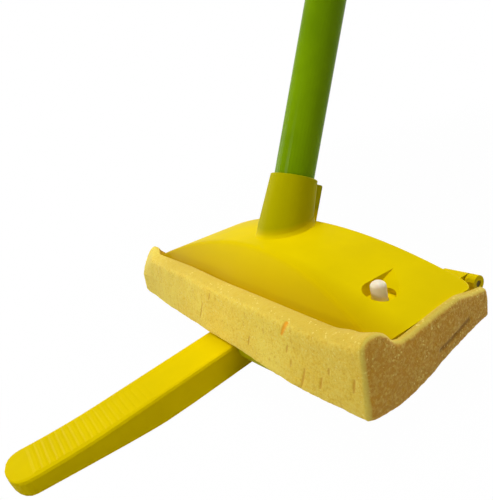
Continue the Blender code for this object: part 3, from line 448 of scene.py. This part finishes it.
def grey_plastic():
    """Dull dark plastic of the tube's plug."""
    shader = Shader("plug_plastic_finish")
    spot = shader.coordinates()
    base = shader.between(shader.noise(spot, scale=300.0), GREY)
    normal = shader.bump(shader.noise(spot, scale=2400.0), strength=0.1, distance=0.0001)
    shader.set(Base_Color=base, Roughness=0.55, Normal=normal)
    return shader.material


def turning_marks(shader, strength):
    """Fine marks round a turned piece that lies along X."""
    marks = shader.noise(shader.coordinates((1.0, 12.0, 12.0)), scale=900.0)
    return shader.bump(marks, strength=strength, distance=0.0001)


def zinc_steel():
    """Bright zinc plating with a faint grey mottle and fine turning marks."""
    shader = Shader("zinc_steel_finish")
    mottle = shader.noise(shader.coordinates(), scale=900.0, detail=4.0, roughness=0.6)
    base = shader.between(mottle, ZINC)
    normal = turning_marks(shader, strength=0.12)
    shader.set(Base_Color=base, Roughness=shader.ramp(mottle, 0.3, 0.7, 0.25, 0.45),
               Metallic=1.0, Normal=normal)
    return shader.material


def dark_steel():
    """Oiled dark steel of the hinge pins."""
    shader = Shader("dark_steel_finish")
    mottle = shader.noise(shader.coordinates(), scale=700.0, roughness=0.6)
    base = shader.between(mottle, DARK_STEEL)
    normal = turning_marks(shader, strength=0.1)
    shader.set(Base_Color=base, Roughness=0.6, Metallic=0.2, Specular_IOR_Level=0.1,
               Normal=normal)
    return shader.material


def dress(node, material):
    """Gives a CAD node its finish."""
    mesh = frame["nodes"][node].data
    mesh.materials.clear()
    mesh.materials.append(material)


# Mesh helpers

def ease(value):
    """Smooth step of a value held between 0 and 1."""
    u = min(1.0, max(0.0, value))
    return u * u * (3 - 2 * u)


def rising(value, start, run):
    """0 up to start, 1 past start + run, and smooth between."""
    return ease((value - start) / run)


def falling(value, end, run):
    """1 up to end - run, 0 past end, and smooth between."""
    return ease((end - value) / run)


def follow(knots, spot):
    """Height on a smooth run through the knots, level at each of them."""
    for (low, first), (high, second) in zip(knots, knots[1:]):
        if spot <= high:
            return first + (second - first) * ease((spot - low) / (high - low))
    return knots[-1][1]


def bridge(bm, loops):
    """Faces from each closed loop of points to the next."""
    for first, second in zip(loops, loops[1:]):
        for i in range(len(first)):
            j = (i + 1) % len(first)
            bm.faces.new((first[i], first[j], second[j], second[i]))


def add_piece(name, bm, material, sharp_degrees):
    """An object at the head's place from a mesh that is already in metres."""
    mesh = bpy.data.meshes.new(name)
    bm.to_mesh(mesh)
    bm.free()
    mesh.shade_smooth()
    mesh.set_sharp_from_angle(angle=math.radians(sharp_degrees))
    mesh.materials.append(material)
    piece = bpy.data.objects.new(name, mesh)
    bpy.context.scene.collection.objects.link(piece)
    piece.location = HEAD
    return piece


# Sponge's outline

def under(y):
    """Underside of the sponge on the press plate's slope."""
    down = PLATE_TOP - SEAT_GAP
    forward = (HINGE.y + down * math.sin(PITCH) - y) / math.cos(PITCH)
    return HINGE.z - forward * math.sin(PITCH) - down * math.cos(PITCH)


def foot_line(x):
    """Front of the sponge's foot at station x."""
    return float(np.interp(x, *zip(*FOOT_LINE)))


def back_edge(x):
    """Back of the sponge at station x, further back past the hinge arms."""
    return BACK + BACK_BULGE * rising(abs(x) - ARM_END, 0.5, PAST_ARM)


def sag(x, y):
    """Share of the belly at a place: full past the plate's ends and past the arms."""
    past_arm = rising(abs(x) - ARM_END, 0.6, PAST_ARM)
    past_plate = rising(abs(x), PLATE_STRAIGHT_END, PAST_PLATE)
    return max(past_arm, past_plate * falling(y, BELLY_BACK, BELLY_BACK_RUN))


def end_top(x, crest, rim):
    """Corners of the upper side past the head's end, from the ear back."""
    knots = RIGHT_END if x > 0 else LEFT_END
    points = [(crest, rim)]
    for y in END_PLACES:
        fade = max(0.0, 1 - (y - crest) / HALF_DEPTH)
        points.append((y, follow(knots, y) + fade * (rim - follow(knots, crest))))
    back = back_edge(x)
    return points + [(back + step, follow(knots, back) + up) for step, up in END_ROUND]


def fold_top(crest, rim, back):
    """Corners of the upper side under the head: over its flange, down inside and out behind."""
    skirt, bed = -HALF_DEPTH - SEAT_GAP, -SKIRT_DEPTH - SEAT_GAP
    foot = skirt + LIP_REACH
    wall = HALF_DEPTH - HEAD_WALL
    fold = [(foot + step, rim + up) for step, up in FOLD_ROUND]
    return [(crest, rim), *fold, (foot, SEAT_GAP), (skirt, SEAT_GAP), (skirt, bed), (0.0, bed),
            (wall - BED_SETBACK, bed), (wall, -BACK_TOP + BED_STEP),
            (back - BACK_ROUND[0], -BACK_TOP), (back, -BACK_TOP - BACK_ROUND[1])]


def outline_corners(x, free_end):
    """Corners of the outline at station x, from the front face's foot round to the back's."""
    rim = follow(RIM, x / SPONGE_HALF)
    crest = FRONT + LIP_REACH + CREST_SETBACK
    low = foot_line(x)
    back = back_edge(x)
    corners = [(low + EDGE, under(low + EDGE))]
    corners += [(low + step, under(low) + up) for step, up in FOOT_ROUND]
    corners.append((FRONT - KNEE_STEP, -SKIRT_DEPTH - KNEE_DROP))
    corners += [(FRONT + step, rim + up) for step, up in FRONT_ROUND]
    corners += end_top(x, crest, rim) if free_end else fold_top(crest, rim, back)
    corners += [(back, under(back) + EDGE), (back - EDGE, under(back - EDGE))]
    if x < -HORN_START:
        share = rising(-x, HORN_START, SPONGE_HALF - HORN_START)
        for index, target in enumerate(HORN):
            corners[index] = tuple(a + (b - a) * share for a, b in zip(corners[index], target))
    return corners


def foam_ring(x, free_end):
    """Closed fine outline of the sponge at one station, and how freely each point may move."""
    corners = outline_corners(x, free_end)
    points, free = [], []
    for side, ((y0, z0), (y1, z1), steps) in enumerate(zip(corners, corners[1:], RING_STEPS)):
        for k in range(steps):
            u = k / steps
            points.append((y0 + (y1 - y0) * u, z0 + (z1 - z0) * u))
            free.append(0.0 if side in HELD_SIDES and not free_end else 1.0)
    front, back = foot_line(x) + EDGE, back_edge(x) - EDGE
    for k in range(UNDER_STEPS):
        share = k / UNDER_STEPS
        y = back - share * (back - front)
        part = sag(x, y)
        points.append((y, under(y) - BELLY * part * math.sin(math.pi * share ** 2)))
        free.append(part)
    ring = np.array(points)
    free = np.array(free)
    loose = (free > 0)[:, None]
    for _ in range(RING_SMOOTHING):
        middle = (np.roll(ring, 1, axis=0) + np.roll(ring, -1, axis=0)) / 2
        ring += loose * SMOOTHING_SHARE * (middle - ring)
    for _ in range(FREE_SMOOTHING):
        free = np.minimum(free, (np.roll(free, 1) + np.roll(free, -1) + free) / 3)
    return ring, free


def drawn_in(ring, amount, smoothing=14, span=3):
    """The outline moved inwards, for the rounded edge of an end face."""
    smooth = ring.copy()
    for _ in range(smoothing):
        smooth = (np.roll(smooth, 1, axis=0) + np.roll(smooth, -1, axis=0) + smooth) / 3
    along = np.roll(smooth, -span, axis=0) - np.roll(smooth, span, axis=0)
    along /= np.linalg.norm(along, axis=1)[:, None]
    inward = np.stack((along[:, 1], -along[:, 0]), axis=1)
    return ring + inward * amount


def foam_stations():
    """Places along the sponge, whether the top is free there, and how far the ring is drawn in."""
    step = HALF_LENGTH + SEAT_GAP
    before, past = STEP_MARGINS
    reach = step - before
    flat_end = SPONGE_HALF - END_ROUNDING
    count = int(round(2 * reach / STATION_PITCH))
    body = [(-reach + 2 * reach * k / count, False, 0.0) for k in range(count + 1)]
    side = [(step + past, True, 0.0), ((step + flat_end) / 2, True, 0.0), (flat_end, True, 0.0)]
    for k in range(1, ROUNDING_STEPS + 1):
        a = math.radians(90 * k / ROUNDING_STEPS)
        side.append((flat_end + END_ROUNDING * math.sin(a), True, END_ROUNDING * (1 - math.cos(a))))
    left = [(-x, free_end, inset) for x, free_end, inset in reversed(side)]
    return left + body + side


# Sponge's mesh

def end_fill(bm, free_of, loop, ring, x):
    """End face as a fine web inside its outline, slightly bulged outwards."""
    low, high = ring.min(axis=0), ring.max(axis=0)
    inner = []
    rows = int((high[1] - low[1]) / WEB_PITCH)
    columns = int((high[0] - low[0]) / WEB_PITCH)
    for row in range(1, rows):
        for column in range(columns + 1):
            y = low[0] + WEB_PITCH * (column + 0.5 * (row % 2))
            inner.append((y, low[1] + WEB_PITCH * row))
    inner = np.array(inner)
    away = np.sqrt(((inner[:, None, :] - ring[None, :, :]) ** 2).sum(axis=2)).min(axis=1)
    inner = inner[away > WEB_CLEARANCE * WEB_PITCH]
    coords = [Vector(point) for point in ring] + [Vector(point) for point in inner]
    edges = [(k, (k + 1) % len(ring)) for k in range(len(ring))]
    verts, _, faces, origins, _, _ = delaunay_2d_cdt(coords, edges, [], INSIDE_ONLY, WELD_DISTANCE)
    made = []
    for vert, source in zip(verts, origins):
        if source and source[0] < len(ring):
            made.append(loop[source[0]])
            continue
        gap = float(np.sqrt(((ring - np.array(vert)) ** 2).sum(axis=1)).min())
        bulge = END_BULGE * (1 - math.exp(-gap / BULGE_RUN))
        made.append(bm.verts.new((x + math.copysign(bulge, x), vert.x, vert.y)))
        made[-1][free_of] = 1.0
    for face in faces:
        corners = [made[k] for k in (face if x > 0 else reversed(face))]
        if len(set(corners)) == len(corners):
            bm.faces.new(corners)


def loft_foam(bm, free_of):
    """The outlines joined station by station, with both end faces filled."""
    loops, rings = [], []
    for x, free_end, inset in foam_stations():
        ring, free = foam_ring(x, free_end)
        if inset > 0:
            ring = drawn_in(ring, inset)
        if free_end:
            past_end = abs(abs(x) - HALF_LENGTH - SEAT_GAP)
            free[TOP_POINTS] *= rising(past_end, WALL_CLEAR, WALL_CLEAR_RUN)
        loop = []
        for (y, z), share in zip(ring, free):
            vert = bm.verts.new((x, y, z))
            vert[free_of] = share
            loop.append(vert)
        loops.append(loop)
        rings.append((x, ring))
    bridge(bm, loops)
    for end in (0, -1):
        x, ring = rings[end]
        end_fill(bm, free_of, loops[end], ring, x)
    bmesh.ops.recalc_face_normals(bm, faces=bm.faces)
    bm.normal_update()


def near_line(x, z, ends):
    """Distance in a face's plane from a line between two places, and how far along it."""
    (x0, z0), (x1, z1) = ends
    dx, dz = x1 - x0, z1 - z0
    u = min(1.0, max(0.0, ((x - x0) * dx + (z - z0) * dz) / (dx * dx + dz * dz)))
    return math.hypot(x - x0 - u * dx, z - z0 - u * dz), u


def ripple(spot, height, turns, shift):
    """Height of one wave of the relief at a surface point."""
    return height * noise.noise(spot * turns + Vector(shift))


def foam_relief(spot, normal):
    """Move of a surface point along its normal, and how deep it lies in a pit, slit or crease."""
    wave = ripple(spot, *BROAD_WAVE) + ripple(spot, *SHORT_WAVE)
    grain = ripple(spot, *GRAIN) + ripple(spot, *FINE_GRAIN)
    cell = noise.voronoi(spot * PIT_CELLS)[0][0]
    patch = rising(ripple(spot, *PIT_PATCHES), PATCH_START, PATCH_RUN)
    pit = falling(cell, PIT_REACH, PIT_SLOPE) * patch
    move = wave + grain - PIT_DEPTH * pit
    # How strongly the point is painted in shade in a pit, slit or crease
    deep = PIT_SHADE * pit
    if normal.y < -FACING and spot.y < FRONT + FACE_DEPTH:
        for ends, depth, width in SLITS:
            away, u = near_line(spot.x, spot.z, ends)
            wide = width * (SLIT_NARROW + SLIT_SWELL * math.sin(math.pi * u))
            slit = math.exp(-(away / wide) ** 2)
            move -= SLIT_SHARE * depth * slit
            deep = max(deep, slit)
    if abs(normal.x) > FACING and spot.x > 0:
        for ends in zip(CREASE, CREASE[1:]):
            away, u = near_line(spot.y, spot.z, ends)
            fold = math.exp(-(away / CREASE_WIDTH) ** 2)
            move -= CREASE_DEPTH * fold
            deep = max(deep, fold)
    return move, deep


def shape_foam(bm, layers):
    """Marks each point for the foam's finish, then moves the free ones by the relief."""
    moves = []
    for vert in bm.verts:
        spot, normal, free = vert.co, vert.normal, vert[layers["free"]]
        move, deep = foam_relief(spot, normal)
        outward = math.copysign(normal.x, normal.x * spot.x)
        turned = max(falling(normal.y, -0.25, 0.3), rising(normal.z, 0.3, 0.3))
        to_warm_slit, _ = near_line(spot.x, spot.z, WARM_SLIT)
        in_warm_slit = normal.y < -FACING and to_warm_slit < WARM_REACH
        # Painted shade in pits, slits and the crease, weaker where the foam is held
        vert[layers["deep"]] = deep * min(1.0, 1.6 * free)
        vert[layers["warm"]] = deep if in_warm_slit else 0.0
        # Where a point lies on an end face facing outwards: there the foam is painted in shade
        vert[layers["cut"]] = rising(outward, 0.45, 0.45)
        # Rims of the end faces, turned forwards or up, that get a painted sheen
        vert[layers["edge"]] = rising(outward, 0.12, 0.3) * turned
        # Upward faces, fading in from 110 to 50 mm left of the middle, that are painted in shade
        vert[layers["top"]] = rising(normal.z, 0.35, 0.5) * rising(spot.x, -110.0, 60.0)
        moves.append(normal * (move * free))
    for vert, move in zip(bm.verts, moves):
        vert.co = (vert.co + move) * MM


def build_sponge(material):
    """The refill in foam: its outline lofted fine, then shaped into pores, waves and slits."""
    bm = bmesh.new()
    layers = {name: bm.verts.layers.float.new(name)
              for name in ("deep", "warm", "cut", "edge", "top", "free")}
    loft_foam(bm, layers["free"])
    shape_foam(bm, layers)
    piece = add_piece("sponge_foam", bm, material, sharp_degrees=60)
    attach(piece, "mop_body")
    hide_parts("sponge")


# Press plate's lip

def wringer_place(x, forward, down):
    """A place measured from the hinge as the press plate is, in the head's frame."""
    return (x, HINGE.y - forward * math.cos(PITCH) + down * math.sin(PITCH),
            HINGE.z - forward * math.sin(PITCH) - down * math.cos(PITCH))


def build_plate_lip(material):
    """Turned-down lip on the press plate's bowed front, from the lever's side to where it fades."""
    bm = bmesh.new()
    loops = []
    start = LEVER_SIDE + SEAT_GAP
    for k in range(LIP_STATIONS + 1):
        x = start + (LIP_END - start) * k / LIP_STATIONS
        front = PLATE_FRONT - PLATE_FRONT_BOW * (x / PLATE_FRONT_REACH) ** 2 + LIP_PROUD
        depth = LIP_LEAST_DEPTH + (LIP_DEPTH - LIP_LEAST_DEPTH) * falling(x, LIP_END, LIP_FADE)
        outline = [(front + s, PLATE_TOP + d) for s, d in LIP_TOP]
        outline += [(front + s, PLATE_TOP + depth + d) for s, d in LIP_FOOT]
        outline += [(front + s, PLATE_TOP + d) for s, d in LIP_BACK]
        loops.append([bm.verts.new(Vector(wringer_place(x, s, d)) * MM) for s, d in outline])
    bridge(bm, loops)
    bm.faces.new(loops[0])
    bm.faces.new(loops[-1])
    bmesh.ops.recalc_face_normals(bm, faces=bm.faces)
    piece = add_piece("press_plate_lip", bm, material, sharp_degrees=50)
    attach(piece, "wringer")


# Studio

def floor_material():
    """Grey floor that the camera and reflections see as nearly white, with a faint shadow."""
    shader = Shader("studio_floor")
    ray = shader.node("ShaderNodeLightPath")
    seen = shader.maths("MAXIMUM", ray.outputs["Is Camera Ray"], ray.outputs["Is Glossy Ray"])
    emission = shader.node("ShaderNodeEmission", {"Color": (1.0, 1.0, 1.0, 1.0), "Strength": 1.0})
    shader.set(Base_Color=FLOOR_GREY, Roughness=0.9)
    away = shader.node("ShaderNodeVectorMath", {0: shader.coordinates()}, operation="LENGTH")
    share = shader.ramp(away.outputs["Value"], *FLOOR_FADE, FLOOR_WHITE, 1.0)
    blend = shader.node("ShaderNodeMixShader")
    shader.feed(blend.inputs[0], shader.maths("MULTIPLY", seen, share))
    shader.feed(blend.inputs[1], shader.principled.outputs["BSDF"])
    shader.feed(blend.inputs[2], emission.outputs["Emission"])
    output = shader.tree.nodes["Material Output"]
    shader.feed(output.inputs["Surface"], blend.outputs["Shader"])
    return shader.material


def build_stage(floor_height):
    """A plain floor."""
    material = floor_material()
    bm = bmesh.new()
    corners = [(-1, -1), (1, -1), (1, 1), (-1, 1)]
    bm.faces.new([bm.verts.new((FLOOR_REACH * x, FLOOR_REACH * y, floor_height))
                  for x, y in corners])
    mesh = bpy.data.meshes.new("studio_floor")
    bm.to_mesh(mesh)
    bm.free()
    floor = bpy.data.objects.new("studio_floor", mesh)
    bpy.context.scene.collection.objects.link(floor)
    mesh.materials.append(material)


def add_light(name, lamp, aim):
    """Places a lamp in the scene, shining along aim."""
    holder = bpy.data.objects.new(name, lamp)
    bpy.context.scene.collection.objects.link(holder)
    holder.rotation_euler = aim.to_track_quat("-Z", "Y").to_euler()
    return holder


def build_lights():
    """Wide soft suns from above and from three sides, and the strip that shows on the tube."""
    for name, (source, strength, width) in SUNS.items():
        lamp = bpy.data.lights.new(name, "SUN")
        lamp.energy = strength
        lamp.angle = math.radians(width)
        add_light(name, lamp, -Vector(source))
    lamp = bpy.data.lights.new("tube_strip", "AREA")
    lamp.shape = "RECTANGLE"
    lamp.size, lamp.size_y = STRIP_SIZE
    lamp.energy = STRIP_WATTS
    lamp.spread = math.radians(STRIP_SPREAD)
    holder = add_light("tube_strip", lamp, place(STRIP_TARGET) - place(STRIP_PLACE))
    holder.location = place(STRIP_PLACE)


def build_world():
    """White world at full strength for the camera and reflections, and at a low level as light."""
    world = bpy.data.worlds.new("studio")
    bpy.context.scene.world = world
    world.use_nodes = True
    tree = world.node_tree
    back = tree.nodes["Background"]
    back.inputs["Color"].default_value = (1.0, 1.0, 1.0, 1.0)
    ray = tree.nodes.new("ShaderNodeLightPath")
    seen = ray.outputs["Is Camera Ray"]
    for kind in ("Is Glossy Ray", "Is Transmission Ray"):
        either = tree.nodes.new("ShaderNodeMath")
        either.operation = "MAXIMUM"
        tree.links.new(seen, either.inputs[0])
        tree.links.new(ray.outputs[kind], either.inputs[1])
        seen = either.outputs["Value"]
    level = tree.nodes.new("ShaderNodeMapRange")
    level.inputs["To Min"].default_value = WORLD_LEVEL
    tree.links.new(seen, level.inputs["Value"])
    tree.links.new(level.outputs["Result"], back.inputs["Strength"])


def build_camera():
    """Camera where the photograph was taken from, rolled about its own axis as that was."""
    azimuth, elevation, roll = (math.radians(angle) for angle in
                                (CAMERA_AZIMUTH, CAMERA_ELEVATION, CAMERA_ROLL))
    forward = Vector((-math.sin(azimuth) * math.cos(elevation),
                      math.cos(azimuth) * math.cos(elevation), -math.sin(elevation)))
    right = Vector((math.cos(azimuth), math.sin(azimuth), 0.0))
    up = right.cross(forward)
    across = math.cos(roll) * right + math.sin(roll) * up
    upward = -math.sin(roll) * right + math.cos(roll) * up
    camera = bpy.data.cameras.new("camera")
    camera.sensor_width = SENSOR
    camera.lens = FOCAL_PIXELS * SENSOR / max(PHOTO_SIZE)
    camera.clip_start = NEAR_CLIP
    holder = bpy.data.objects.new("camera", camera)
    bpy.context.scene.collection.objects.link(holder)
    turn = Matrix((across, upward, -forward)).transposed()
    holder.matrix_world = Matrix.Translation(place(CAMERA_PLACE)) @ turn.to_4x4()
    bpy.context.scene.camera = holder


# The whole mop

def build():
    """Finishes for the CAD nodes, the scene's own pieces, and the studio."""
    yellow, green, foam = yellow_plastic(), green_coating(), sponge_foam()
    white, grey, steel, dark = white_plastic(), grey_plastic(), zinc_steel(), dark_steel()
    finishes = {
        "head_housing": yellow, "handle_grip": yellow, "press_plate": yellow,
        "press_lever": yellow, "handle_tube": green, "tube_foot_plug": grey,
        "sponge_carrier": white, "release_stud": white, "hinge_pin_left": dark,
        "hinge_pin_right": dark, "socket_screw": steel, "lever_screw_back": steel,
        "lever_screw_front": steel, "sponge": foam,
    }
    for node, material in finishes.items():
        dress(node, material)
    build_sponge(foam)
    build_plate_lip(yellow)
    build_stage(cad_box[0].z - FLOOR_DROP)
    build_lights()
    build_world()
    build_camera()
    bpy.context.scene.view_settings.view_transform = "Standard"


build()
